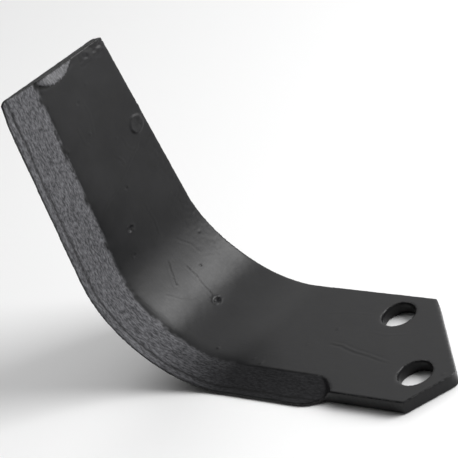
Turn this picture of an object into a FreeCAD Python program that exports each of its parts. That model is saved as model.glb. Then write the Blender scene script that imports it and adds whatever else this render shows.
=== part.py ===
"""Rotary tiller blade: one forged and bent steel bar, in millimetres.

Frame: the origin lies midway between the two bolt holes, on the face that bolts to the rotor flange.
+Z leaves that face towards the hollow side of the bend, +X points to the pointed end of the shank and
-Y points to the cutting edge. The wing rises along +Z at the -X end.
"""
import FreeCAD, Part
import math
import os
import Sketcher

V = FreeCAD.Vector
doc = FreeCAD.newDocument("tiller_blade")

# ---------------------------------------------------------------- driving dimensions
SIZES = {
    # flat bar
    "bar_thickness": 6.4,
    "far_edge": 29.65,           # plain edge, from the line that the origin lies on
    "near_edge": 35.2,          # shank's edge on the cutting side
    # pointed end: two cuts, each by its distance from the origin and the direction it faces
    "long_cut_offset": 17.2,
    "long_cut_angle": 37.8,     # towards +Y of +X
    "short_cut_offset": 34.8,
    "short_cut_angle": 34.4,    # towards -Y of +X
    "apex_radius": 3.0,
    "corner_radius": 0.9,
    # bolt holes, punched from the hollow side
    "hole_pitch": 44.0,
    "hole_diameter": 15.5,
    "hole_line_angle": 129.5,
    "rim_rounding": 0.3,
    "breakout_width": 0.3,
    "breakout_depth": 1.8,
    # bend between shank and wing
    "bend_start": 69.3,
    "bend_radius": 50.4,
    "wing_angle": 91.4,
    "bend_skew": 8.52,          # bend line against the shank's square direction
    # wing
    "wing_taper": 6.1,
    "taper_height": 19.0,       # where the tapered edge line leaves the far edge line
    "taper_blend": 250.0,
    "tip_height": 151.0,
    "tip_slope": 6.5,
    "tip_slant": 13.0,
    "tip_radius": 2.0,
    "tip_draw": 0.9,            # how far the cutting edge falls back towards the tip
    "tip_draw_length": 8.0,
    # cutting edge and its forged bevel
    "cutting_edge": 40.3,
    "flare_start": 37.5,
    "flare_radius": 24.0,
    "ridge_on_shank": 26.2,
    "ridge_on_wing": 24.7,
    "margin_line": 37.4,
    "margin_thickness": 1.85,
    "edge_thickness": 1.1,
    "nose_centre": 32.0,
    "nose_wall_angle": 45.0,
    # lip folded over the wing's hollow face at the tip
    "lip_height": 1.4,
    "lip_start": 2.3,
    "lip_length": 21.5,
    "lip_drop": 4.6,
    "lip_rise": 1.5,
    # how far trims and cutters run on past the metal
    "lap": 14.0,
    "reach": 60.0,
    "clearance": 1.5,
}

sheet = doc.addObject("Spreadsheet::Sheet", "Sizes")
for row, (alias, number) in enumerate(SIZES.items(), start=1):
    sheet.set(f"A{row}", alias)
    sheet.set(f"B{row}", str(number))
    sheet.setAlias(f"B{row}", alias)
doc.recompute()


def size(alias):
    return float(sheet.get(alias))


def angle(alias):
    return math.radians(size(alias))


# ---------------------------------------------------------------- helpers
ORIGIN = (-1, 1)    # the sketch's own origin, as a (geometry, end) pair
START, END, CENTRE = 1, 2, 3


def origin_plane(body, role):
    return next(item for item in body.Origin.OriginFeatures if item.Role == role)


def new_sketch(body, name, role, **offsets):
    """A sketch on one of the body's own planes, shifted by expressions such as Base_z."""
    sketch = body.newObject("Sketcher::SketchObject", name)
    sketch.AttachmentSupport = [(origin_plane(body, role), "")]
    sketch.MapMode = "FlatFace"
    for path, expression in offsets.items():
        sketch.setExpression("AttachmentOffset." + path.replace("_", "."), expression)
    return sketch


def bind(sketch, name, expression, *constraint):
    """Add a constraint whose value is bound to the sheet."""
    index = sketch.addConstraint(Sketcher.Constraint(*constraint))
    sketch.renameConstraint(index, name)
    sketch.setExpression(f"Constraints.{name}", expression)


def relate(sketch, kind, *groups):
    """Add one constraint of a kind without a value for each group of geometry."""
    for group in groups:
        sketch.addConstraint(Sketcher.Constraint(kind, *group))


def line(start, end):
    return Part.LineSegment(V(*start, 0), V(*end, 0))


def arc(centre, radius, first, last):
    """Anticlockwise arc between two directions in degrees."""
    circle = Part.Circle(V(*centre, 0), V(0, 0, 1), radius)
    return Part.ArcOfCircle(circle, math.radians(first), math.radians(last))


def polar(centre, radius, direction):
    turn = math.radians(direction)
    return centre[0] + radius * math.cos(turn), centre[1] + radius * math.sin(turn)


def extrude(body, kind, name, sketch, **settings):
    feature = body.newObject(kind, name)
    feature.Profile = sketch
    feature.SideType = "Symmetric"
    for key, value in settings.items():
        setattr(feature, key, value)
    return feature


def step_volume(body, previous, least, what):
    """Recompute, and make sure that the last feature added or removed metal."""
    doc.recompute()
    volume = body.Shape.Volume
    if abs(volume - previous) < least:
        raise RuntimeError(f"{what} changed nothing")
    return volume


# ---------------------------------------------------------------- bent bar
def bar_sketch(body):
    """Side view of the bar: flat shank, round bend and flat wing."""
    sketch = new_sketch(body, "bar_side_view", "XZ_Plane")
    thick, inner, start = size("bar_thickness"), size("bend_radius"), size("bend_start")
    turn, reach = size("wing_angle"), size("reach")
    top = size("tip_height") + size("lap")
    centre = (-start, inner + thick)
    wing_out = polar(centre, inner + thick, 270 - turn)
    wing_in = polar(centre, inner, 270 - turn)
    rise = top - wing_in[1]
    lean = rise / math.tan(math.pi - angle("wing_angle"))
    tip_in = (wing_in[0] + lean, top)
    tip_out = (wing_out[0] + lean, top + wing_out[1] - wing_in[1])
    sketch.addGeometry([
        line((reach, 0), (-start, 0)),
        arc(centre, inner + thick, 270 - turn, 270),
        line(wing_out, tip_out),
        line(tip_out, tip_in),
        line(tip_in, wing_in),
        arc(centre, inner, 270 - turn, 270),
        line((-start, thick), (reach, thick)),
        line((reach, thick), (reach, 0)),
    ])
    under, bend_out, back, tip, hollow, bend_in, upper, end = range(8)
    relate(sketch, "Tangent", (under, END, bend_out, END), (bend_out, START, back, START),
           (hollow, END, bend_in, START), (bend_in, END, upper, START))
    relate(sketch, "Coincident", (back, END, tip, START), (tip, END, hollow, START),
           (upper, END, end, START), (end, END, under, START), (bend_out, CENTRE, bend_in, CENTRE))
    relate(sketch, "Perpendicular", (back, tip))
    relate(sketch, "Horizontal", (under,))
    relate(sketch, "Vertical", (end,))
    relate(sketch, "PointOnObject", (under, START, -1))
    bind(sketch, "inner_radius", "Sizes.bend_radius", "Radius", bend_in, inner)
    bind(sketch, "outer_radius", "Sizes.bend_radius + Sizes.bar_thickness", "Radius", bend_out, inner + thick)
    bind(sketch, "bend_start", "Sizes.bend_start", "DistanceX", bend_out, CENTRE, *ORIGIN, start)
    bind(sketch, "end_reach", "Sizes.reach", "DistanceX", *ORIGIN, under, START, reach)
    bind(sketch, "wing_angle", "180 deg - Sizes.wing_angle * 1 deg", "Angle", back,
         math.pi - angle("wing_angle"))
    bind(sketch, "top", "Sizes.tip_height + Sizes.lap", "DistanceY", *ORIGIN, tip, END, top)
    return sketch


def add_bent_bar(body):
    """The bar, drawn out along its bend line, which runs askew to the shank."""
    pad = extrude(body, "PartDesign::Pad", "bent_bar", bar_sketch(body), UseCustomVector=True,
                  Direction=V(math.tan(angle("bend_skew")), 1, 0), AlongSketchNormal=True)
    pad.setExpression("Direction.x", "tan(Sizes.bend_skew * 1 deg)")
    pad.setExpression("Length", "2 * (Sizes.cutting_edge + Sizes.lap)")


# ---------------------------------------------------------------- lip at the tip
HOLLOW_FACE_AT_ORIGIN_HEIGHT = (
    "-Sizes.bend_start - Sizes.bend_radius / sin(Sizes.wing_angle * 1 deg)"
    " + (Sizes.bend_radius + Sizes.bar_thickness) * cos(Sizes.wing_angle * 1 deg)"
    " / sin(Sizes.wing_angle * 1 deg)"
)


def add_lip(body):
    """Metal folded over the wing's hollow face: a segment whose chord lies on the tip."""
    sketch = new_sketch(body, "lip_outline", "YZ_Plane", Base_z=HOLLOW_FACE_AT_ORIGIN_HEIGHT,
                        Rotation_Pitch="-Sizes.bend_skew", Rotation_Roll="Sizes.wing_angle - 90")
    half, drop = size("lip_length") / 2, size("lip_drop")
    chord = size("tip_height") + size("lip_rise")
    radius = (half * half + drop * drop) / (2 * drop)
    middle = -size("lip_start") - half
    centre = (middle, chord - drop + radius)
    spread = math.degrees(math.asin(half / radius))
    left, right = middle - half, middle + half
    top = chord + size("lap")
    sketch.addGeometry([
        arc(centre, radius, 270 - spread, 270 + spread),
        line((right, chord), (right, top)),
        line((right, top), (left, top)),
        line((left, top), (left, chord)),
    ])
    fold, side_right, roof, side_left = range(4)
    relate(sketch, "Coincident", (fold, END, side_right, START), (side_right, END, roof, START),
           (roof, END, side_left, START), (side_left, END, fold, START))
    relate(sketch, "Vertical", (side_right,), (side_left,))
    relate(sketch, "Horizontal", (roof,))
    bind(sketch, "fold_radius", "(Sizes.lip_length ^ 2 / 4 + Sizes.lip_drop ^ 2) / (2 * Sizes.lip_drop)",
         "Radius", fold, radius)
    bind(sketch, "start", "Sizes.lip_start", "DistanceX", side_right, START, *ORIGIN, -right)
    bind(sketch, "length", "Sizes.lip_length", "DistanceX", roof, END, roof, START, 2 * half)
    bind(sketch, "chord_right", "Sizes.tip_height + Sizes.lip_rise",
         "DistanceY", *ORIGIN, side_right, START, chord)
    bind(sketch, "chord_left", "Sizes.tip_height + Sizes.lip_rise",
         "DistanceY", *ORIGIN, side_left, END, chord)
    bind(sketch, "roof", "Sizes.tip_height + Sizes.lip_rise + Sizes.lap",
         "DistanceY", *ORIGIN, roof, START, top)
    pad = extrude(body, "PartDesign::Pad", "folded_lip", sketch)
    pad.setExpression("Length", "2 * Sizes.lip_height")


# ---------------------------------------------------------------- outline trims
def meet(first_offset, first_angle, second_offset, second_angle):
    """Crossing of two lines, each given by its distance from the origin and its normal's direction."""
    determinant = math.sin(second_angle - first_angle)
    return (
        (first_offset * math.sin(second_angle) - second_offset * math.sin(first_angle)) / determinant,
        (second_offset * math.cos(first_angle) - first_offset * math.cos(second_angle)) / determinant,
    )


def rounding_centre(first, second, radius):
    """Centre of a rounding between two lines given as (distance, normal direction)."""
    return meet(first[0] - radius, first[1], second[0] - radius, second[1])


def plan_sketch(body):
    """Everything outside the shank's pointed end, its cutting side and the flare of the forged edge."""
    sketch = new_sketch(body, "plan_trim", "XY_Plane")
    edge, near = size("cutting_edge"), size("near_edge")
    flare, flare_radius = size("flare_start"), size("flare_radius")
    apex, corner = size("apex_radius"), size("corner_radius")
    lap, reach = size("lap"), size("reach")
    back = -(size("bend_start") + size("bend_radius") + reach)
    near_side = (near, -math.pi / 2)
    short_cut = (size("short_cut_offset"), -angle("short_cut_angle"))
    long_cut = (size("long_cut_offset"), angle("long_cut_angle"))
    far_side = (size("far_edge"), math.pi / 2)
    centres = [
        rounding_centre(near_side, short_cut, corner),
        rounding_centre(short_cut, long_cut, apex),
        rounding_centre(long_cut, far_side, corner),
    ]
    low, high = -size("short_cut_angle"), size("long_cut_angle")
    flare_centre = (-flare, flare_radius - edge)
    flare_turn = math.degrees(math.acos((flare_radius - edge + near) / flare_radius))
    flare_end = polar(flare_centre, flare_radius, 270 + flare_turn)
    near_end = polar(centres[0], corner, -90)
    short_start, short_end = polar(centres[0], corner, low), polar(centres[1], apex, low)
    long_start, long_end = polar(centres[1], apex, high), polar(centres[2], corner, high)
    far_start = polar(centres[2], corner, 90)
    far_end = (far_start[0] - lap, far_start[1])
    top, bottom, right = far_end[1] + reach, -edge - reach, 2 * reach
    sketch.addGeometry([
        line((back, -edge), (-flare, -edge)),
        arc(flare_centre, flare_radius, 270, 270 + flare_turn),
        line(flare_end, near_end),
        arc(centres[0], corner, -90, low),
        line(short_start, short_end),
        arc(centres[1], apex, low, high),
        line(long_start, long_end),
        arc(centres[2], corner, high, 90),
        line(far_start, far_end),
        line(far_end, (far_end[0], top)),
        line((far_end[0], top), (right, top)),
        line((right, top), (right, bottom)),
        line((right, bottom), (back, bottom)),
        line((back, bottom), (back, -edge)),
    ])
    (forged, flare_arc, shank_side, near_corner, short_line, apex_arc, long_line, far_corner, far_line,
     room_left, room_top, room_right, room_bottom, room_back) = range(14)
    rounded = [shank_side, near_corner, short_line, apex_arc, long_line, far_corner, far_line]
    relate(sketch, "Tangent", (forged, END, flare_arc, START),
           *((first, END, second, START) for first, second in zip(rounded, rounded[1:])))
    relate(sketch, "Coincident", (flare_arc, END, shank_side, START), (far_line, END, room_left, START),
           (room_left, END, room_top, START), (room_top, END, room_right, START),
           (room_right, END, room_bottom, START), (room_bottom, END, room_back, START),
           (room_back, END, forged, START))
    relate(sketch, "Horizontal", (forged,), (shank_side,), (far_line,), (room_top,), (room_bottom,))
    relate(sketch, "Vertical", (room_left,), (room_right,), (room_back,))
    relate(sketch, "Equal", (near_corner, far_corner))
    bind(sketch, "cutting_edge", "Sizes.cutting_edge", "DistanceY", forged, START, *ORIGIN, edge)
    bind(sketch, "flare_start", "Sizes.flare_start", "DistanceX", forged, END, *ORIGIN, flare)
    bind(sketch, "flare_radius", "Sizes.flare_radius", "Radius", flare_arc, flare_radius)
    bind(sketch, "near_edge", "Sizes.near_edge", "DistanceY", shank_side, END, *ORIGIN, near)
    bind(sketch, "corner_radius", "Sizes.corner_radius", "Radius", near_corner, corner)
    bind(sketch, "apex_radius", "Sizes.apex_radius", "Radius", apex_arc, apex)
    bind(sketch, "short_cut_offset", "Sizes.short_cut_offset", "Distance", *ORIGIN, short_line, short_cut[0])
    bind(sketch, "short_cut_angle", "90 deg - Sizes.short_cut_angle * 1 deg", "Angle", short_line,
         math.pi / 2 + short_cut[1])
    bind(sketch, "long_cut_offset", "Sizes.long_cut_offset", "Distance", *ORIGIN, long_line, long_cut[0])
    bind(sketch, "long_cut_angle", "90 deg + Sizes.long_cut_angle * 1 deg", "Angle", long_line,
         math.pi / 2 + long_cut[1])
    bind(sketch, "far_edge", "Sizes.far_edge", "DistanceY", *ORIGIN, far_line, END, far_side[0])
    bind(sketch, "far_lap", "Sizes.lap", "DistanceX", far_line, END, far_line, START, lap)
    bind(sketch, "room_height", "Sizes.reach", "DistanceY", room_left, START, room_left, END, reach)
    bind(sketch, "room_right", "2 * Sizes.reach", "DistanceX", *ORIGIN, room_right, START, right)
    bind(sketch, "room_depth", "Sizes.reach", "DistanceY", room_back, START, room_back, END, reach)
    bind(sketch, "room_back", "Sizes.bend_start + Sizes.bend_radius + Sizes.reach",
         "DistanceX", forged, START, *ORIGIN, -back)
    return sketch


def edge_sketch(body):
    """Beyond the plain edge, seen along the shank: upright at the shank, leaning in up the wing."""
    sketch = new_sketch(body, "plain_edge_trim", "YZ_Plane")
    far, lap, reach = size("far_edge"), size("lap"), size("reach")
    blend, taper = size("taper_blend"), size("wing_taper")
    lift = size("taper_height") - blend * math.tan(math.radians(taper) / 2)
    centre = (far - blend, lift)
    leave = polar(centre, blend, taper)
    top = size("tip_height") + 2 * lap
    crown = (leave[0] - (top - leave[1]) * math.tan(math.radians(taper)), top)
    right = far + reach
    sketch.addGeometry([
        line((far, -lap), (far, lift)),
        arc(centre, blend, 0, taper),
        line(leave, crown),
        line(crown, (right, top)),
        line((right, top), (right, -lap)),
        line((right, -lap), (far, -lap)),
    ])
    upright, blend_arc, leaning, room_top, room_right, room_bottom = range(6)
    relate(sketch, "Tangent", (upright, END, blend_arc, START), (blend_arc, END, leaning, START))
    relate(sketch, "Coincident", (leaning, END, room_top, START), (room_top, END, room_right, START),
           (room_right, END, room_bottom, START), (room_bottom, END, upright, START))
    relate(sketch, "Vertical", (upright,), (room_right,))
    relate(sketch, "Horizontal", (room_top,), (room_bottom,))
    bind(sketch, "far_edge", "Sizes.far_edge", "DistanceX", *ORIGIN, upright, START, far)
    bind(sketch, "below", "Sizes.lap", "DistanceY", upright, START, *ORIGIN, lap)
    bind(sketch, "blend", "Sizes.taper_blend", "Radius", blend_arc, blend)
    bind(sketch, "blend_start", "Sizes.taper_height - Sizes.taper_blend * tan(Sizes.wing_taper * 0.5 deg)",
         "DistanceY", *ORIGIN, upright, END, lift)
    bind(sketch, "taper", "90 deg + Sizes.wing_taper * 1 deg", "Angle", leaning,
         math.pi / 2 + angle("wing_taper"))
    bind(sketch, "top", "Sizes.tip_height + 2 * Sizes.lap", "DistanceY", *ORIGIN, room_top, START, top)
    bind(sketch, "room", "Sizes.reach", "DistanceX", room_bottom, END, room_bottom, START, reach)
    return sketch


def tip_sketch(body):
    """Beyond the sheared tip, seen along the shank, with the rounded corner of the cutting edge."""
    sketch = new_sketch(body, "tip_trim", "YZ_Plane", Base_z="-Sizes.bend_start - Sizes.bend_radius")
    edge, reach = size("cutting_edge"), size("reach")
    slope, radius = size("tip_slope"), size("tip_radius")
    offset = size("tip_height") * math.cos(math.radians(slope))
    normal = math.radians(90 - slope)
    draw_height = size("tip_height") - size("tip_draw_length")
    lean = math.atan(size("tip_draw") / size("tip_draw_length"))
    side_offset = edge * math.cos(lean) + draw_height * math.sin(lean)
    centre = rounding_centre((side_offset, math.pi - lean), (offset, normal), radius)
    tip_end = polar(centre, radius, 90 - slope)
    side_start = polar(centre, radius, 180 - math.degrees(lean))
    side_end = (-edge, draw_height)
    left, right = -edge - reach, reach
    tip_start = (right, size("tip_height") - right * math.tan(math.radians(slope)))
    top = size("tip_height") + reach
    sketch.addGeometry([
        line(tip_start, tip_end),
        arc(centre, radius, 90 - slope, 180 - math.degrees(lean)),
        line(side_start, side_end),
        line(side_end, (left, side_end[1])),
        line((left, side_end[1]), (left, top)),
        line((left, top), (right, top)),
        line((right, top), tip_start),
    ])
    tip, corner, side, room_bottom, room_left, room_top, room_right = range(7)
    relate(sketch, "Tangent", (tip, END, corner, START), (corner, END, side, START))
    relate(sketch, "Coincident", (side, END, room_bottom, START), (room_bottom, END, room_left, START),
           (room_left, END, room_top, START), (room_top, END, room_right, START),
           (room_right, END, tip, START))
    relate(sketch, "Vertical", (room_left,), (room_right,))
    relate(sketch, "Horizontal", (room_bottom,), (room_top,))
    bind(sketch, "tip_offset", "Sizes.tip_height * cos(Sizes.tip_slope * 1 deg)",
         "Distance", *ORIGIN, tip, offset)
    bind(sketch, "tip_slope", "180 deg - Sizes.tip_slope * 1 deg", "Angle", tip,
         math.radians(180 - slope))
    bind(sketch, "tip_radius", "Sizes.tip_radius", "Radius", corner, radius)
    bind(sketch, "cutting_edge", "Sizes.cutting_edge", "DistanceX", side, END, *ORIGIN, edge)
    bind(sketch, "draw_height", "Sizes.tip_height - Sizes.tip_draw_length",
         "DistanceY", *ORIGIN, side, END, draw_height)
    bind(sketch, "draw_lean", "-90 deg - atan(Sizes.tip_draw / Sizes.tip_draw_length)", "Angle", side,
         -math.pi / 2 - lean)
    bind(sketch, "room_left", "Sizes.reach", "DistanceX", room_bottom, END, room_bottom, START, reach)
    bind(sketch, "room_right", "Sizes.reach", "DistanceX", *ORIGIN, room_top, END, reach)
    bind(sketch, "room_top", "Sizes.tip_height + Sizes.reach", "DistanceY", *ORIGIN, room_top, END, top)
    return sketch


# ---------------------------------------------------------------- bolt holes
def hole_sketch(body, name, diameter_expression, diameter):
    """Two circles at the ends of the hole line, which the origin halves."""
    sketch = new_sketch(body, name, "XY_Plane")
    pitch, turn = size("hole_pitch"), size("hole_line_angle")
    ends = [polar((0, 0), pitch / 2, turn + 180), polar((0, 0), pitch / 2, turn)]
    sketch.addGeometry([line(*ends)], True)
    sketch.addGeometry([Part.Circle(V(*end, 0), V(0, 0, 1), diameter / 2) for end in ends])
    axis, lower, upper = range(3)
    relate(sketch, "Coincident", (axis, START, lower, CENTRE), (axis, END, upper, CENTRE))
    relate(sketch, "Symmetric", (axis, START, axis, END, *ORIGIN))
    relate(sketch, "Equal", (lower, upper))
    bind(sketch, "pitch", "Sizes.hole_pitch", "Distance", axis, START, axis, END, pitch)
    bind(sketch, "direction", "Sizes.hole_line_angle * 1 deg", "Angle", axis, math.radians(turn))
    bind(sketch, "diameter", diameter_expression, "Diameter", lower, diameter)
    return sketch


def rim_edges(shape, radius, height):
    """Names of the full circles of one radius that lie at one height."""
    names = []
    for index, edge in enumerate(shape.Edges, start=1):
        if edge.Closed and edge.Curve.TypeId == "Part::GeomCircle":
            if abs(edge.Curve.Radius - radius) < 0.01 and abs(edge.Curve.Center.z - height) < 0.01:
                names.append(f"Edge{index}")
    return names


def add_holes(body, volume):
    """Punched holes: a rolled rim where the punch enters and a wider break where it leaves."""
    bore = size("hole_diameter")
    holes = hole_sketch(body, "hole_circles", "Sizes.hole_diameter", bore)
    extrude(body, "PartDesign::Pocket", "punched_holes", holes, Type="ThroughAll")
    volume = step_volume(body, volume, 100, "the bolt holes")
    width = size("breakout_width")
    breaks = hole_sketch(body, "breakout_circles", "Sizes.hole_diameter + 2 * Sizes.breakout_width",
                         bore + 2 * width)
    pocket = extrude(body, "PartDesign::Pocket", "punch_breakout", breaks, Type="Length",
                     SideType="One side", Reversed=True)
    pocket.setExpression("Length", "Sizes.breakout_depth")
    pocket.setExpression("TaperAngle", "-atan(Sizes.breakout_width / Sizes.breakout_depth)")
    volume = step_volume(body, volume, 5, "the punch breakout")
    rims = rim_edges(body.Shape, bore / 2, size("bar_thickness"))
    rounding = body.newObject("PartDesign::Fillet", "rolled_rims")
    rounding.Base = (pocket, rims)
    rounding.setExpression("Radius", "Sizes.rim_rounding")
    return step_volume(body, volume, 0.5, "the rim rounding")


# ---------------------------------------------------------------- forged bevel
def bevel_section(body, name, depth, off_shank, off_wing):
    """The hollow side's room, seen along the bend line, at one distance towards the cutting edge.

    depth, off_shank and off_wing are expressions: how far towards -Y the section lies, and how far
    its lower and back sides stand off the bar's hollow face, minus being inside the metal.
    """
    sketch = new_sketch(body, name, "XZ_Plane", Base_z=depth,
                        Base_x=f"-tan(Sizes.bend_skew * 1 deg) * ({depth})")
    thick, inner, start = size("bar_thickness"), size("bend_radius"), size("bend_start")
    turn, lap = size("wing_angle"), size("lap")
    centre = (-start, inner + thick)
    wing_in = polar(centre, inner, 270 - turn)
    top = size("tip_height") + 2 * lap
    crown = (wing_in[0] + (top - wing_in[1]) / math.tan(math.pi - angle("wing_angle")), top)
    sketch.addGeometry([
        line((lap, thick), (-start, thick)),
        arc(centre, inner, 270 - turn, 270),
        line(wing_in, crown),
        line(crown, (lap, top)),
        line((lap, top), (lap, thick)),
    ])
    sketch.addGeometry([Part.Point(V(*centre, 0))], True)
    floor, bend, wall, roof, front, bar_centre = range(6)
    relate(sketch, "Tangent", (floor, END, bend, END), (bend, START, wall, START))
    relate(sketch, "Coincident", (wall, END, roof, START), (roof, END, front, START),
           (front, END, floor, START))
    relate(sketch, "Horizontal", (floor,), (roof,))
    relate(sketch, "Vertical", (front,))
    bind(sketch, "bar_centre_x", "Sizes.bend_start", "DistanceX", bar_centre, START, *ORIGIN, start)
    bind(sketch, "bar_centre_z", "Sizes.bend_radius + Sizes.bar_thickness",
         "DistanceY", *ORIGIN, bar_centre, START, inner + thick)
    bind(sketch, "floor_height", f"Sizes.bar_thickness + {off_shank}",
         "DistanceY", *ORIGIN, floor, START, thick)
    bind(sketch, "wall_offset", f"Sizes.bend_radius - ({off_wing})",
         "Distance", bar_centre, START, wall, inner)
    bind(sketch, "radius", f"Sizes.bend_radius - ({off_shank} + {off_wing}) / 2", "Radius", bend, inner)
    bind(sketch, "wing_angle", "180 deg - Sizes.wing_angle * 1 deg", "Angle", wall,
         math.pi - angle("wing_angle"))
    bind(sketch, "front", "Sizes.lap", "DistanceX", *ORIGIN, front, START, lap)
    bind(sketch, "roof", "Sizes.tip_height + 2 * Sizes.lap", "DistanceY", *ORIGIN, roof, START, top)
    return sketch


def make_bevel_room():
    """Room above the bevel: a wide slope down from the ridge, then a flatter margin to the edge."""
    body = doc.addObject("PartDesign::Body", "bevel_room")
    cut_depth = "(Sizes.bar_thickness - Sizes.margin_thickness)"
    run_in = "(Sizes.lap / 2)"
    inner_line = f"(Sizes.ridge_on_wing - {run_in})"
    margin_fall = ("(Sizes.margin_thickness - Sizes.edge_thickness)"
                   " / (Sizes.cutting_edge - Sizes.margin_line)")
    inner = bevel_section(
        body, "bevel_inside_ridge", inner_line,
        f"({cut_depth} * (Sizes.ridge_on_shank - {inner_line}) / (Sizes.margin_line - Sizes.ridge_on_shank))",
        f"({cut_depth} * {run_in} / (Sizes.margin_line - Sizes.ridge_on_wing))")
    margin = bevel_section(body, "bevel_at_margin", "Sizes.margin_line", f"(-{cut_depth})",
                           f"(-{cut_depth})")
    past_edge = "(Sizes.cutting_edge + Sizes.clearance)"
    fall = f"(-{cut_depth} - {margin_fall} * ({past_edge} - Sizes.margin_line))"
    outer = bevel_section(body, "bevel_past_edge", past_edge, fall, fall)
    doc.recompute()
    loft = body.newObject("PartDesign::AdditiveLoft", "bevel_loft")
    loft.Profile = inner
    loft.Sections = [margin, outer]
    loft.Ruled = True
    step_volume(body, 0, 1000, "the bevel loft")
    return body


def make_bevel_cutter(room):
    """The bevel's room, held back on the shank by a rounded nose with a sloping wall."""
    box = doc.addObject("Part::Box", "bevel_run")
    box.setExpression("Length", "Sizes.bend_start + Sizes.bend_radius + Sizes.reach - Sizes.nose_centre")
    box.setExpression("Width", "Sizes.cutting_edge + Sizes.lap")
    box.setExpression("Height", "Sizes.tip_height + 3 * Sizes.lap")
    box.setExpression("Placement.Base.x", "-Sizes.bend_start - Sizes.bend_radius - Sizes.reach")
    box.setExpression("Placement.Base.y", "-Sizes.cutting_edge - Sizes.lap")
    box.setExpression("Placement.Base.z", "-Sizes.lap")
    nose = doc.addObject("Part::Cone", "bevel_nose")
    run = "(Sizes.bar_thickness / tan(Sizes.nose_wall_angle * 1 deg))"
    nose.setExpression("Radius1", f"Sizes.cutting_edge - Sizes.ridge_on_shank - {run}")
    nose.setExpression("Radius2", f"Sizes.cutting_edge - Sizes.ridge_on_shank + {run}")
    nose.setExpression("Height", "2 * Sizes.bar_thickness")
    nose.setExpression("Placement.Base.x", "-Sizes.nose_centre")
    nose.setExpression("Placement.Base.y", "-Sizes.cutting_edge")
    allowed = doc.addObject("Part::Fuse", "bevel_limits")
    allowed.Base, allowed.Tool = box, nose
    cutter = doc.addObject("Part::Common", "bevel_cutter")
    cutter.Base, cutter.Tool = room, allowed
    doc.recompute()
    return cutter


# ---------------------------------------------------------------- the blade
def make_blank():
    """The bent bar with its trimmed outline, lip and holes, before the edge is forged."""
    body = doc.addObject("PartDesign::Body", "blank")
    add_bent_bar(body)
    volume = step_volume(body, 0, 1000, "the bent bar")
    add_lip(body)
    volume = step_volume(body, volume, 10, "the lip")
    extrude(body, "PartDesign::Pocket", "plan_cut", plan_sketch(body), Type="ThroughAll")
    volume = step_volume(body, volume, 1000, "the plan trim")
    extrude(body, "PartDesign::Pocket", "plain_edge_cut", edge_sketch(body), Type="ThroughAll")
    volume = step_volume(body, volume, 1000, "the plain edge trim")
    tip = extrude(body, "PartDesign::Pocket", "tip_cut", tip_sketch(body), Type="Length",
                  UseCustomVector=True, Direction=V(1, 0, math.tan(angle("tip_slant"))),
                  AlongSketchNormal=True)
    tip.setExpression("Direction.z", "tan(Sizes.tip_slant * 1 deg)")
    tip.setExpression("Length", "Sizes.reach")
    volume = step_volume(body, volume, 1000, "the tip trim")
    add_holes(body, volume)
    return body


blank = make_blank()
blade = doc.addObject("Part::Cut", "tiller_blade")
blade.Label = "tiller_blade"
blade.Base = blank
blade.Tool = make_bevel_cutter(make_bevel_room())
blade.Refine = True
blade.Placement = FreeCAD.Placement(V(0, 0, 0), FreeCAD.Rotation())
doc.recompute()

# ---------------------------------------------------------------- checks and export
for item in doc.Objects:
    if "Invalid" in item.State or "Error" in item.State:
        raise RuntimeError(f"{item.Label} did not compute: {item.State}")
if blade.Shape.isNull() or not blade.Shape.isValid() or len(blade.Shape.Solids) != 1:
    raise RuntimeError("the blade is not one valid solid")
print(f"blade: {blade.Shape.Volume / 1000:.1f} cubic centimetres")

os.makedirs("parts", exist_ok=True)
blade.Shape.exportStep(f"parts/{blade.Label}.step")
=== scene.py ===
"""Looks of the rotary tiller blade: one forged steel piece under thin black paint.

All lengths in the form code are millimetres in the blade's own frame and are scaled to metres at the end.
Places on the hollow side are given in the sheet's flat pattern: s runs along the bar from the start of
the bend towards the tip, q runs along the bend line towards the plain edge.
"""

import math

import bmesh
import bpy
import numpy as np
from mathutils import Matrix, Vector


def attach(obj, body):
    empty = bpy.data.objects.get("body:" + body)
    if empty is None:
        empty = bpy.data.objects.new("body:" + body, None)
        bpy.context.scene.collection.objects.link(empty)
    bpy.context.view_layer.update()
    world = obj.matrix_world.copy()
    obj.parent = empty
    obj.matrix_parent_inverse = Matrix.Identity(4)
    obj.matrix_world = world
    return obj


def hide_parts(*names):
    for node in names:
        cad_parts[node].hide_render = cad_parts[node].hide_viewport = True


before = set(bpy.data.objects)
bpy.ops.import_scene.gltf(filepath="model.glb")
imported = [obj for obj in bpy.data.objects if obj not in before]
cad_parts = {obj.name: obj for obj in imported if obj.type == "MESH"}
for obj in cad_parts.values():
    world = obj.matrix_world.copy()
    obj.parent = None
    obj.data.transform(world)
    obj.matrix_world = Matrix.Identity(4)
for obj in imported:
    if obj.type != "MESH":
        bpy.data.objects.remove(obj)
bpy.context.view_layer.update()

# ---------------------------------------------------------------- the bar's own geometry
THICK = 6.4
BEND_START = 69.3
BEND_RADIUS = 50.4
WING_ANGLE = math.radians(91.4)
SKEW = math.radians(8.52)
ACROSS = np.array([math.sin(SKEW), math.cos(SKEW)])     # along the bend line, towards the plain edge
CENTRE = (-BEND_START, BEND_RADIUS + THICK)
FLAT_START = BEND_START * math.cos(SKEW)
FLAT_RADIUS = 50.0
FLAT_END = FLAT_START + FLAT_RADIUS * WING_ANGLE
RIDGE_SHANK = -26.2
RIDGE_WING = -24.7
EDGE = -40.2


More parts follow.
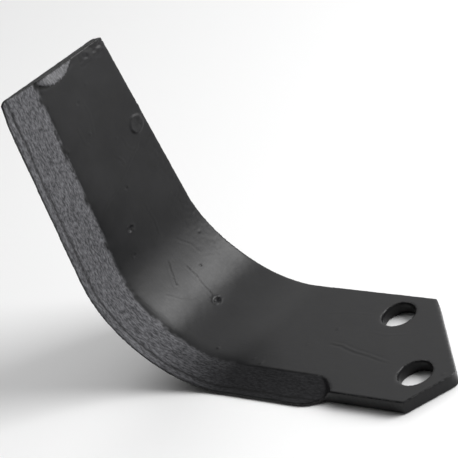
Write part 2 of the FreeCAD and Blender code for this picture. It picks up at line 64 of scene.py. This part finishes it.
def to_flat(points):
    """Flat-pattern place of points in millimetres: run u (falls towards the tip), q across, depth below the hollow face."""
    x = points[:, 0] - points[:, 1] * math.tan(SKEW)
    dx = x - CENTRE[0]
    dz = points[:, 2] - CENTRE[1]
    turn = np.arctan2(-dx, -dz)
    turn = np.where(turn < -1.0, math.pi, turn)
    climb = -dx * math.cos(WING_ANGLE) + dz * math.sin(WING_ANGLE)
    u_bend = -(FLAT_START + FLAT_RADIUS * turn)
    u = np.where(dx >= 0, x * math.cos(SKEW), np.where(turn < WING_ANGLE, u_bend, -(FLAT_END + climb)))
    depth_wing = -dx * math.sin(WING_ANGLE) - dz * math.cos(WING_ANGLE) - BEND_RADIUS
    depth = np.where(dx >= 0, THICK - points[:, 2],
                     np.where(turn < WING_ANGLE, np.hypot(dx, dz) - BEND_RADIUS, depth_wing))
    q = points[:, :2] @ ACROSS
    return u, q, depth


# ---------------------------------------------------------------- seeded noise
def _mix(h):
    h = (h ^ (h >> np.uint64(33))) * np.uint64(0xFF51AFD7ED558CCD)
    h = (h ^ (h >> np.uint64(33))) * np.uint64(0xC4CEB9FE1A85EC53)
    return h ^ (h >> np.uint64(33))


def _corner(ix, iy, iz, seed):
    h = _mix(ix.astype(np.int64).view(np.uint64) * np.uint64(0x9E3779B97F4A7C15)
             ^ iy.astype(np.int64).view(np.uint64) * np.uint64(0xC2B2AE3D27D4EB4F)
             ^ iz.astype(np.int64).view(np.uint64) * np.uint64(0x165667B19E3779F9)
             ^ np.uint64(seed * 7919 + 13))
    return (h >> np.uint64(11)).astype(np.float64) / float(1 << 53) * 2 - 1


def noise(p, seed):
    """Smooth value noise between -1 and 1 at the rows of p, one cell per unit."""
    base = np.floor(p)
    f = p - base
    f = f * f * f * (f * (f * 6 - 15) + 10)
    total = np.zeros(len(p))
    for cx in (0, 1):
        for cy in (0, 1):
            for cz in (0, 1):
                weight = (np.where(cx, f[:, 0], 1 - f[:, 0]) * np.where(cy, f[:, 1], 1 - f[:, 1])
                          * np.where(cz, f[:, 2], 1 - f[:, 2]))
                total += weight * _corner(base[:, 0] + cx, base[:, 1] + cy, base[:, 2] + cz, seed)
    return total


def layers(p, seed, octaves=3, gain=0.5):
    total = np.zeros(len(p))
    weight = 1.0
    for octave in range(octaves):
        total += weight * noise(p * 2.0 ** octave + 17.3 * octave, seed + octave)
        weight *= gain
    return total


def smooth(value, low, high):
    """0 below low, 1 above high, smooth between; low may be the larger of the two."""
    t = np.clip((value - low) / (high - low), 0, 1)
    return t * t * (3 - 2 * t)


# ---------------------------------------------------------------- fine mesh
def fine_mesh():
    """The CAD node's surface as an even net of small quads that keeps its sharp edges."""
    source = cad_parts["tiller_blade"].data
    work = bmesh.new()
    work.from_mesh(source)
    bmesh.ops.remove_doubles(work, verts=work.verts, dist=1e-6)
    coarse = bpy.data.meshes.new("coarse")
    work.to_mesh(coarse)
    work.free()
    carrier = bpy.data.objects.new("carrier", coarse)
    bpy.context.scene.collection.objects.link(carrier)
    remesh = carrier.modifiers.new("net", "REMESH")
    remesh.mode = "SHARP"
    remesh.octree_depth = 9
    remesh.use_remove_disconnected = False
    for step in range(12):
        remesh.scale = 0.53 - 0.005 * step
        bpy.context.view_layer.update()
        net = bpy.data.meshes.new_from_object(carrier.evaluated_get(bpy.context.evaluated_depsgraph_get()))
        work = bmesh.new()
        work.from_mesh(net)
        bad = sum(not edge.is_manifold for edge in work.edges)
        bad += sum(not vert.is_manifold for vert in work.verts)
        if not bad:
            break
        work.free()
    bpy.data.objects.remove(carrier)
    return work



def even_out(points, edges, hold, rounds):
    """Relax each point towards the middle of its neighbours, less the more it is held (0 free, 1 fixed)."""
    first = np.concatenate([edges[:, 0], edges[:, 1]])
    second = np.concatenate([edges[:, 1], edges[:, 0]])
    count = np.bincount(first, minlength=len(points))
    free = (1.0 - hold)[:, None]
    for _ in range(rounds):
        mean = np.stack([np.bincount(first, points[second, axis], len(points)) for axis in range(3)], 1)
        points = points + free * (mean / count[:, None] - points)
    return points


def spread(value, edges, rounds):
    """Blur one number per point over its neighbours."""
    first = np.concatenate([edges[:, 0], edges[:, 1]])
    second = np.concatenate([edges[:, 1], edges[:, 0]])
    count = np.bincount(first, minlength=len(value))
    for _ in range(rounds):
        value = 0.5 * value + 0.5 * np.bincount(first, value[second], len(value)) / count
    return value


def face_normals(points, faces):
    normal = np.cross(points[faces[:, 1]] - points[faces[:, 0]], points[faces[:, 2]] - points[faces[:, 0]])
    return normal


def point_normals(points, faces):
    flat = face_normals(points, faces)
    total = np.stack([sum(np.bincount(faces[:, k], flat[:, axis], len(points)) for k in range(3))
                      for axis in range(3)], 1)
    return total / np.maximum(np.linalg.norm(total, axis=1, keepdims=True), 1e-12)


def edge_sharpness(points, faces):
    """For each point, how far the faces round it turn away from each other: 0 flat, 1 a right angle."""
    flat = face_normals(points, faces)
    flat = flat / np.maximum(np.linalg.norm(flat, axis=1, keepdims=True), 1e-12)
    around = point_normals(points, faces)
    turn = np.zeros(len(points))
    for k in range(3):
        np.maximum.at(turn, faces[:, k], 1 - np.einsum("ij,ij->i", flat, around[faces[:, k]]))
    return np.clip(turn / 0.29, 0, 1)


def hollow_direction(points):
    """Which way the hollow side faces at each point."""
    dx = points[:, 0] - points[:, 1] * math.tan(SKEW) - CENTRE[0]
    turn = np.clip(np.arctan2(-dx, CENTRE[1] - points[:, 2]), 0, WING_ANGLE)
    turn = np.where(dx >= 0, 0, np.where(points[:, 2] > CENTRE[1], WING_ANGLE, turn))
    way = np.stack([np.sin(turn) * math.cos(SKEW), -np.sin(turn) * math.sin(SKEW), np.cos(turn)], 1)
    return way / np.linalg.norm(way, axis=1, keepdims=True)


def stroke_distance(u, y, path):
    """Distance from a line through the places in path, its side, and how far along it each point lies."""
    best = np.full(len(u), 1e9)
    side = np.zeros(len(u))
    along = np.zeros(len(u))
    total = 0.0
    for (u0, y0), (u1, y1) in zip(path, path[1:]):
        length = math.hypot(u1 - u0, y1 - y0)
        t = np.clip(((u - u0) * (u1 - u0) + (y - y0) * (y1 - y0)) / length ** 2, 0, 1)
        away = np.hypot(u - u0 - t * (u1 - u0), y - y0 - t * (y1 - y0))
        cross = (u1 - u0) * (y - y0) - (y1 - y0) * (u - u0)
        closer = away < best
        best = np.where(closer, away, best)
        side = np.where(closer, np.sign(cross), side)
        along = np.where(closer, total + t * length, along)
        total += length
    return best, side, along / total


# ---------------------------------------------------------------- marks on the hollow side
# Each place is (u, y) in millimetres; u falls towards the tip, y rises towards the plain edge.
BLISTER = (-195.0, 14.9)
CRATERS = [(-154.7, -9.7, 1.5, 0.7), (-101.5, 1.0, 1.6, 0.9), (-172.7, -3.1, 0.8, 0.3),
           (-118.0, 9.5, 0.7, 0.25), (-143.0, -14.0, 0.8, 0.3), (-222.5, -8.5, 0.8, 0.25)]
SPECKS = [(-227.4, -1.0), (-206.7, -9.1), (-196.0, 2.5), (-206.7, -22.8), (-199.4, -24.6), (-172.2, -24.5),
          (-37.8, 3.0), (-236.0, 9.5), (-238.5, 4.2), (-237.0, 12.4), (-176.0, 18.5), (-160.5, 22.0),
          (-64.0, -22.0), (-58.5, -24.0), (-84.0, -21.0), (-45.0, -9.0), (29.4, -15.6), (-130.0, 20.5)]
SCRATCHES = [
    ([(-187.2, 13.2), (-182.9, 5.6), (-176.3, -5.7), (-173.1, -14.6), (-170.3, -21.0)], 0.07),
    ([(-123.1, 3.9), (-113.2, 3.5), (-103.8, 1.6)], -0.10),
    ([(-130.2, -1.0), (-125.2, -3.7), (-119.3, -6.3), (-117.7, -5.2)], -0.12),
    ([(-189.5, -2.0), (-186.0, 0.5), (-182.5, 1.4)], 0.07),
    ([(-196.0, 5.0), (-189.0, 5.8), (-184.5, 9.8), (-188.0, 12.6)], 0.05),
    ([(-214.0, -14.0), (-205.0, -13.5), (-200.0, -10.5)], 0.05),
    ([(-222.0, -6.0), (-213.0, -5.2), (-204.0, -7.5)], 0.04),
    ([(-162.0, 2.0), (-150.0, 4.0), (-140.0, 3.0)], 0.04),
    ([(-136.0, 8.0), (-128.0, 13.0), (-121.0, 14.5)], -0.05),
    ([(-120.0, -14.0), (-113.0, -10.0), (-108.5, -4.0)], -0.04),
    ([(-52.0, 12.0), (-40.0, 14.5), (-26.0, 15.0)], 0.04),
    ([(-22.0, 4.0), (-12.0, 3.0), (-2.0, 5.5)], 0.04),
]
SCAR = [(-35.5, -6.6), (-28.1, -7.4), (-19.6, -10.1), (-11.2, -11.6), (-3.0, -13.1), (3.8, -14.4)]
TIP_GROOVE = [(-240.6, -25.0), (-239.4, -29.1), (-238.1, -32.7), (-236.4, -35.2)]
EDGE_GROOVE = [(-238.6, -36.8), (-234.1, -37.4), (-229.3, -38.0)]
LIP_LINE = [(-244.0, -24.4), (-239.6, -22.8), (-238.1, -19.0), (-237.5, -14.5), (-238.2, -8.5), (-239.6, -3.2),
            (-241.6, -1.6)]


# ---------------------------------------------------------------- the blade's surface
def refine(work, keep):
    """Quarter the faces whose middle passes the test."""
    chosen = {edge for face in work.faces if keep(face.calc_center_median()) for edge in face.edges}
    bmesh.ops.subdivide_edges(work, edges=list(chosen), cuts=1, use_grid_fill=True)


def near_detail(middle):
    x, y, z = middle.x * 1000, middle.y * 1000, middle.z * 1000
    if z > 142 and x > -123:
        return True
    if y < -23.5 and z > 30 and x > -131.5 + max(0, (-36 - y)) * 0 and math.hypot(0, 0) == 0:
        return (x + 69.3 - (y * math.tan(SKEW))) > -56.3 or z > CENTRE[1]
    return False


work = fine_mesh()
work.verts.index_update()
bmesh.ops.triangulate(work, faces=work.faces)
P = np.array([vert.co[:] for vert in work.verts]) * 1000
F = np.array([[vert.index for vert in face.verts] for face in work.faces])
E = np.array([[vert.index for vert in edge.verts] for edge in work.edges])
work.free()

sharp = edge_sharpness(P, F)
P = even_out(P, E, (sharp > 0.10).astype(float), 40)

u, q, depth = to_flat(P)
y = P[:, 1]
way = hollow_direction(P)
N = point_normals(P, F)
facing = np.einsum("ij,ij->i", N, way)
on_hollow = smooth(facing, 0.55, 0.8) * (depth < 5.6)
ridge = np.interp(u, [-148, -68], [RIDGE_WING, RIDGE_SHANK])
bevel = on_hollow * smooth(depth, 0.05, 0.45) * (y < ridge + 1.0) * (u < -16)
margin = bevel * smooth(y, -36.6, -37.6)
lip = on_hollow * smooth(depth, -0.25, -0.9) * (u < -230)
plain = on_hollow * (1 - bevel) * (1 - lip)
rim = smooth(sharp, 0.25, 0.7)

# soften the ridge through the bend, and round every edge a little
in_bend = smooth(u, -132, -112) * smooth(u, -62, -80)
near_ridge = np.exp(-((y - ridge) / 3.0) ** 2) * (facing > 0.7)
P = even_out(P, E, 1 - 0.9 * in_bend * near_ridge, 60)
P = even_out(P, E, np.where(sharp > 0.2, 0.5, 0.85), 2)
N = point_normals(P, F)

flat = np.stack([u, y, np.zeros(len(u))], 1)
lift = np.zeros(len(P))

# hammered unevenness of the whole bar
lift += 0.045 * layers(P / 14.0, 3, 2) * (1 - rim)
lift += 0.012 * layers(P / 3.0, 9, 2)

# wrinkled scale on the bevel: long grains on the wing, a soft mottle on the shank
wing_side = smooth(u, -66, -112)
grain = layers(flat / np.array([2.6, 1.05, 1.0]), 21, 2, 0.6)
mottle = layers(flat / np.array([1.9, 1.7, 1.0]), 31, 2, 0.6)
lift += bevel * (1 - margin) * (wing_side * 0.060 * grain + (1 - wing_side) * 0.045 * mottle)
lift -= bevel * (1 - margin) * wing_side * 0.05 * smooth(grain, 0.35, 0.8)
lift += margin * 0.02 * layers(flat / np.array([6.0, 1.2, 1.0]), 41, 2)
crease = np.exp(-((y + 37.3 + 0.25 * noise(flat / 9.0, 43)) / 0.42) ** 2) * bevel
lift -= 0.10 * crease * wing_side

# pits along the ridge, most near the tip
pits = smooth(noise(flat / np.array([1.9, 1.3, 1.0]), 51), 0.25, 0.75) * np.exp(-((y - ridge - 0.3) / 1.1) ** 2)
lift -= on_hollow * pits * (0.10 + 0.25 * smooth(u, -185, -238)) * smooth(u, -100, -140)

# scar lines, scratches, craters, specks and the scab near the plain edge
wobble = 0.35 * noise(flat / 4.0, 61)
for path, height in SCRATCHES:
    away, side, along = stroke_distance(u, y + wobble, path)
    fade = smooth(along, 0.0, 0.12) * smooth(along, 1.0, 0.85)
    lift += plain * height * fade * (np.exp(-(away / 0.38) ** 2) - 0.4 * np.exp(-((away - 0.9) / 0.4) ** 2))
away, side, along = stroke_distance(u, y + 0.8 * wobble, SCAR)
fade = smooth(along, 0.0, 0.08) * smooth(along, 1.0, 0.7)
lift += plain * fade * (-0.16 * np.exp(-(away / 0.45) ** 2) + 0.12 * np.exp(-((away - 0.9) / 0.45) ** 2) * (side > 0)
                        - 0.10 * np.exp(-((away - 1.9) / 0.45) ** 2) * (side > 0))
for cu, cy, radius, deep in CRATERS:
    r = np.hypot(u - cu, y - cy) / radius * (1 + 0.25 * noise(flat / 0.9, 71))
    lift += plain * (-deep * np.exp(-(r / 0.75) ** 4) + 0.18 * deep * np.exp(-((r - 1.15) / 0.3) ** 2))
    lift += plain * 0.7 * deep * np.exp(-(np.hypot(u - cu - 0.3 * radius, y - cy - 0.35 * radius) / (0.35 * radius)) ** 2)
for number, (cu, cy) in enumerate(SPECKS):
    radius = 0.45 + 0.12 * math.sin(number * 2.4)
    lift += on_hollow * 0.24 * np.exp(-(np.hypot(u - cu, y - cy) / radius) ** 2)
r = np.hypot((u - BLISTER[0]) / 4.5, (y - BLISTER[1]) / 3.9) * (1 + 0.07 * noise(flat / 2.0, 81))
lift += plain * (0.42 * smooth(r, 1.05, 0.80) + 0.16 * np.exp(-((r - 0.86) / 0.12) ** 2)
                 - 0.20 * smooth(r, 0.72, 0.30) + 0.10 * smooth(r, 1.0, 0.8) * noise(flat / 1.1, 83))

# rough patches beside the plain edge of the wing
band = smooth(y, 9, 22) * smooth(u, -95, -130) + smooth(u, -226, -236) * smooth(y, -6, 6)
lift += plain * np.clip(band, 0, 1) * 0.045 * layers(flat / 1.3, 91, 2)

# tip: rolled burr over the hollow face, rough corner, groove round the forged corner
below_tip = (u + 243.5) - 0.12 * (y + 12)
lift += lip * (-0.75 + 0.34 * np.clip(below_tip, 0, 5.5) + 0.05 * noise(flat / 1.6, 101))
away, side, along = stroke_distance(u, y, LIP_LINE)
lift -= plain * 0.22 * np.exp(-(away / 0.8) ** 2)
corner = on_hollow * (1 - bevel) * smooth(u, -232.5, -237.5) * smooth(y, -2.0, 3.0)
lift += corner * (0.30 * layers(flat / np.array([1.7, 2.1, 1.0]), 111, 2, 0.7) - 0.12)
away, side, along = stroke_distance(u, y, TIP_GROOVE)
patch = bevel * smooth(u, -235.5, -239.5 + 0.0)
lift += patch * (0.10 + 0.12 * layers(flat / 1.2, 121, 2))
lift -= bevel * 0.40 * np.exp(-(away / 0.5) ** 2)
away, side, along = stroke_distance(u, y, EDGE_GROOVE)
lift -= bevel * 0.35 * np.exp(-(away / 0.5) ** 2)

# torn walls of the punched holes
hole_turn = math.radians(129.5)
for sign, seed in ((1, 131), (-1, 137)):
    cx, cy = sign * 22 * math.cos(hole_turn), sign * 22 * math.sin(hole_turn)
    reach = np.hypot(P[:, 0] - cx, P[:, 1] - cy)
    swing = np.arctan2(P[:, 1] - cy, P[:, 0] - cx)
    wall = (reach < 8.6) * (np.abs(N[:, 2]) < 0.75) * (P[:, 2] < 6.3)
    round_place = np.stack([swing * 2.2, P[:, 2] * 0.25, np.full(len(P), float(seed))], 1)
    torn = smooth(P[:, 2], 4.6 + 0.5, 3.2) * (0.55 + 0.45 * noise(round_place, seed))
    lift -= wall * (0.34 * torn + 0.05 * layers(P / np.array([1.2, 1.2, 2.4]), seed + 2, 2))

# sheared end faces and side walls: drag lines near the top, a coarse break below, a burr on the rim
side_wall = (np.abs(facing) < 0.5) * (1 - rim)
run = np.stack([P[:, 0] + 0.6 * P[:, 1], P[:, 0] * 0.5 - P[:, 1], P[:, 2] * 0.35], 1)
lift += side_wall * (u > -70) * 0.05 * layers(run / 1.1, 141, 2)
lift += side_wall * (u <= -70) * 0.04 * layers(P / np.array([1.5, 1.5, 3.0]), 151, 2)
burr = rim * smooth(P[:, 0], 16, 24) * (P[:, 2] > 4) * smooth(noise(P / 1.3, 161), 0.0, 0.6)
lift += 0.16 * burr
lift -= rim * 0.05 * (1 + layers(P / 2.2, 171, 2)) * (1 - burr)

P = P + N * lift[:, None]
P[:, 2] = np.maximum(P[:, 2], 0.0)

mesh = bpy.data.meshes.new("tiller_blade_skin")
mesh.from_pydata((P / 1000).tolist(), [], F.tolist())
mesh.update()
# the crease attribute carries painted shade: the colour goes near-black in the margin crease and in the ridge pits
# past the bend
for name, value in (("bevel", bevel), ("margin", margin), ("lip", lip), ("rim", rim), ("plain", plain),
                    ("wing_side", wing_side), ("crease", np.clip(crease + pits * (u < -100), 0, 1))):
    layer = mesh.attributes.new(name, "FLOAT", "POINT")
    layer.data.foreach_set("value", value.astype(np.float32))
layer = mesh.attributes.new("flat_place", "FLOAT_VECTOR", "POINT")
layer.data.foreach_set("vector", np.stack([u, y, depth], 1).astype(np.float32).ravel())
blade = bpy.data.objects.new("blade_skin", mesh)
bpy.context.scene.collection.objects.link(blade)

# thin out the net where nothing is seen of it: the back, the underside and inside walls
hidden = np.clip(smooth(facing, 0.2, -0.2) + (rim < 0.3) * (np.abs(facing) < 0.3) * 0.3, 0, 1) * (1 - rim)
group = blade.vertex_groups.new(name="thin")
for weight in (0.3, 1.0):
    chosen = np.nonzero((hidden > 0.15) if weight < 1 else (hidden > 0.6))[0]
    group.add(chosen.tolist(), weight, "REPLACE")
thin = blade.modifiers.new("thin", "DECIMATE")
thin.ratio = 190000 / len(F)
thin.vertex_group = "thin"
thin.vertex_group_factor = 1.0
bpy.context.view_layer.update()
mesh = bpy.data.meshes.new_from_object(blade.evaluated_get(bpy.context.evaluated_depsgraph_get()))
blade.modifiers.remove(thin)
blade.data = mesh
blade.vertex_groups.clear()
for polygon in mesh.polygons:
    polygon.use_smooth = True
print("blade triangles", len(mesh.polygons))

# ---------------------------------------------------------------- material
paint = bpy.data.materials.new("black_paint")
paint.use_nodes = True
tree = paint.node_tree
shader = tree.nodes["Principled BSDF"]
link = tree.links.new


def node(kind, **settings):
    made = tree.nodes.new(kind)
    for key, value in settings.items():
        setattr(made, key, value)
    return made


def attribute(name, output="Fac"):
    return node("ShaderNodeAttribute", attribute_name=name).outputs[output]


def joined(operation, first, second=None, third=None, clamp=False):
    made = node("ShaderNodeMath", operation=operation, use_clamp=clamp)
    for slot_number, value in enumerate((first, second, third)):
        if value is None:
            continue
        if isinstance(value, (int, float)):
            made.inputs[slot_number].default_value = value
        else:
            link(value, made.inputs[slot_number])
    return made.outputs[0]


def ranged(value, low, high, to_low, to_high):
    made = node("ShaderNodeMapRange")
    link(value, made.inputs["Value"])
    for name, number in (("From Min", low), ("From Max", high), ("To Min", to_low), ("To Max", to_high)):
        made.inputs[name].default_value = number
    return made.outputs["Result"]


def speckle(place, stretch, scale, detail, rough=0.55):
    mapping = node("ShaderNodeMapping")
    mapping.inputs["Scale"].default_value = stretch
    link(place, mapping.inputs["Vector"])
    made = node("ShaderNodeTexNoise")
    made.inputs["Scale"].default_value = scale
    made.inputs["Detail"].default_value = detail
    made.inputs["Roughness"].default_value = rough
    link(mapping.outputs["Vector"], made.inputs["Vector"])
    return made.outputs["Fac"]


flat_place = attribute("flat_place", "Vector")
solid_place = node("ShaderNodeTexCoord").outputs["Object"]
is_bevel, is_margin, is_lip = attribute("bevel"), attribute("margin"), attribute("lip")
is_rim, is_wing, painted_shade_mask = attribute("rim"), attribute("wing_side"), attribute("crease")
is_plain = attribute("plain")

wrinkle = speckle(flat_place, (0.45, 1.5, 1.0), 1.1, 3.0, 0.6)
dapple = speckle(flat_place, (0.9, 0.9, 1.0), 1.2, 3.0, 0.6)
cloud = speckle(solid_place, (1, 1, 1), 55.0, 4.0, 0.6)
grit = speckle(solid_place, (1, 1, 1), 900.0, 3.0, 0.65)
streak = speckle(flat_place, (0.10, 0.9, 1.0), 1.0, 4.0, 0.6)

# colour: a bluish black, a shade greyer where the scale shows through; the scale grey is held down on the shank's
# bevel as painted shade and laid on the rolled burr as a painted highlight
tone = node("ShaderNodeValToRGB")
tone.color_ramp.elements[0].position = 0.30
tone.color_ramp.elements[0].color = (0.0045, 0.0045, 0.0050, 1)
tone.color_ramp.elements[1].position = 0.72
tone.color_ramp.elements[1].color = (0.0095, 0.0095, 0.0102, 1)
link(cloud, tone.inputs["Fac"])
scale_tone = node("ShaderNodeValToRGB")
scale_tone.color_ramp.elements[0].position = 0.36
scale_tone.color_ramp.elements[0].color = (0.035, 0.035, 0.038, 1)
scale_tone.color_ramp.elements[1].position = 0.66
scale_tone.color_ramp.elements[1].color = (0.135, 0.135, 0.144, 1)
link(wrinkle, scale_tone.inputs["Fac"])
colour = node("ShaderNodeMix", data_type="RGBA")
# the scale grey is cut to 0.15 on the shank's bevel: painted shade, since that part of the bevel gets less light
scale_with_painted_shade = joined("MULTIPLY", is_bevel, ranged(is_wing, 0.0, 1.0, 0.15, 1.0))
# the rolled burr at the tip takes 0.8 of the scale grey: a painted highlight where the lobe faces up into the light
link(joined("MAXIMUM", scale_with_painted_shade, joined("MULTIPLY", is_lip, 0.8)), colour.inputs["Factor"])
link(tone.outputs["Color"], colour.inputs["A"])
link(scale_tone.outputs["Color"], colour.inputs["B"])
worn = joined("MULTIPLY", is_rim, ranged(grit, 0.42, 0.62, 0.0, 0.8), clamp=True)
bare = node("ShaderNodeMix", data_type="RGBA")
link(worn, bare.inputs["Factor"])
link(colour.outputs["Result"], bare.inputs["A"])
bare.inputs["B"].default_value = (0.055, 0.054, 0.054, 1)
# painted shade: near-black colour over the crease attribute, where shade falls in the margin crease and the pits
painted_crease_shade = node("ShaderNodeMix", data_type="RGBA")
link(joined("MULTIPLY", painted_shade_mask, 0.8), painted_crease_shade.inputs["Factor"])
link(bare.outputs["Result"], painted_crease_shade.inputs["A"])
painted_crease_shade.inputs["B"].default_value = (0.004, 0.004, 0.004, 1)
link(painted_crease_shade.outputs["Result"], shader.inputs["Base Color"])

# gloss: smooth paint on the face, duller scale on the bevel
face_gloss = ranged(joined("ADD", cloud, joined("MULTIPLY", grit, 0.5)), 0.45, 1.05, 0.30, 0.42)
bevel_gloss = ranged(wrinkle, 0.3, 0.7, 0.62, 0.46)
gloss = node("ShaderNodeMix", data_type="FLOAT")
link(is_bevel, gloss.inputs["Factor"])
link(face_gloss, gloss.inputs["A"])
link(bevel_gloss, gloss.inputs["B"])
link(gloss.outputs["Result"], shader.inputs["Roughness"])
shader.inputs["Specular IOR Level"].default_value = 0.22

# bump, in millimetres of height
bevel_height = joined("MULTIPLY", wrinkle, joined("MULTIPLY", is_bevel, 0.10))
fine_height = joined("MULTIPLY", grit, 0.006)
face_height = joined("MULTIPLY", streak, joined("MULTIPLY", is_plain, 0.02))
height = joined("ADD", joined("ADD", bevel_height, fine_height), joined("ADD", face_height, joined("MULTIPLY", dapple, 0.01)))
bump = node("ShaderNodeBump")
bump.inputs["Strength"].default_value = 1.0
bump.inputs["Distance"].default_value = 0.001
link(height, bump.inputs["Height"])
link(bump.outputs["Normal"], shader.inputs["Normal"])
mesh.materials.append(paint)

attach(blade, "root")
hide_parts("tiller_blade")

# ---------------------------------------------------------------- floor, light and camera
floor_mesh = bpy.data.meshes.new("floor")
floor_mesh.from_pydata([(-6, -6, -0.0002), (6, -6, -0.0002), (6, 6, -0.0002), (-6, 6, -0.0002)], [], [(0, 1, 2, 3)])
floor = bpy.data.objects.new("floor", floor_mesh)
bpy.context.scene.collection.objects.link(floor)
ground = bpy.data.materials.new("pale_floor")
ground.use_nodes = True
ground.node_tree.nodes["Principled BSDF"].inputs["Base Color"].default_value = (0.85, 0.85, 0.85, 1)
ground.node_tree.nodes["Principled BSDF"].inputs["Roughness"].default_value = 0.9
floor_mesh.materials.append(ground)

world = bpy.data.worlds.new("studio")
bpy.context.scene.world = world
world.use_nodes = True
sky = world.node_tree
background = sky.nodes["Background"]
background.inputs["Color"].default_value = (1, 1, 1, 1)
heading = sky.nodes.new("ShaderNodeTexCoord").outputs["Generated"]


def glow(direction, inner, outer, level):
    """A soft bright patch of the studio's wall, in degrees round a direction."""
    toward = sky.nodes.new("ShaderNodeVectorMath")
    toward.operation = "DOT_PRODUCT"
    sky.links.new(heading, toward.inputs[0])
    toward.inputs[1].default_value = Vector(direction).normalized()
    fade = sky.nodes.new("ShaderNodeMapRange")
    fade.interpolation_type = "SMOOTHSTEP"
    sky.links.new(toward.outputs["Value"], fade.inputs["Value"])
    fade.inputs["From Min"].default_value = math.cos(math.radians(outer))
    fade.inputs["From Max"].default_value = math.cos(math.radians(inner))
    fade.inputs["To Min"].default_value = 0.0
    fade.inputs["To Max"].default_value = level
    return fade.outputs["Result"]


walls = sky.nodes.new("ShaderNodeMath")
walls.operation = "ADD"
sky.links.new(glow((-0.112, 0.633, 0.766), 10, 50, 2.04), walls.inputs[0])
sky.links.new(glow((1.0, 0.0, 0.0), 10, 30, 1.6), walls.inputs[1])
wall_light = sky.nodes.new("ShaderNodeMath")
wall_light.operation = "ADD"
sky.links.new(walls.outputs[0], wall_light.inputs[0])
wall_light.inputs[1].default_value = 0.05
sky.links.new(wall_light.outputs[0], background.inputs["Strength"])


def softbox(name, direction, distance, width, height, power):
    """A rectangular lamp that faces the blade from one direction."""
    lamp = bpy.data.lights.new(name, "AREA")
    lamp.shape = "RECTANGLE"
    lamp.size, lamp.size_y = width, height
    lamp.energy = power
    holder = bpy.data.objects.new(name, lamp)
    aim = Vector(direction).normalized()
    holder.location = Vector((-0.04, 0, 0.05)) + aim * distance
    holder.rotation_euler = aim.to_track_quat("Z", "Y").to_euler()
    bpy.context.scene.collection.objects.link(holder)


softbox("key", (0.709, 0.410, 0.574), 1.3, 0.6, 0.6, 17.5)
softbox("low", (0.853, 0.492, 0.174), 1.3, 0.6, 0.6, 7.6)

lens = bpy.data.cameras.new("camera")
lens.sensor_width = 36
lens.lens = 167.55
lens.clip_start = 0.01
camera = bpy.data.objects.new("camera", lens)
right = Vector((0.77874, 0.52682, -0.34063)).normalized()
ahead = Vector((-0.62304, 0.58593, -0.51818)).normalized()
up = right.cross(ahead).normalized()
right = ahead.cross(up)
turn = Matrix((right, up, -ahead)).transposed().to_4x4()
camera.matrix_world = Matrix.Translation((0.50307, -0.54175, 0.54039)) @ turn
bpy.context.scene.collection.objects.link(camera)
bpy.context.scene.camera = camera
bpy.context.scene.view_settings.view_transform = "Standard"
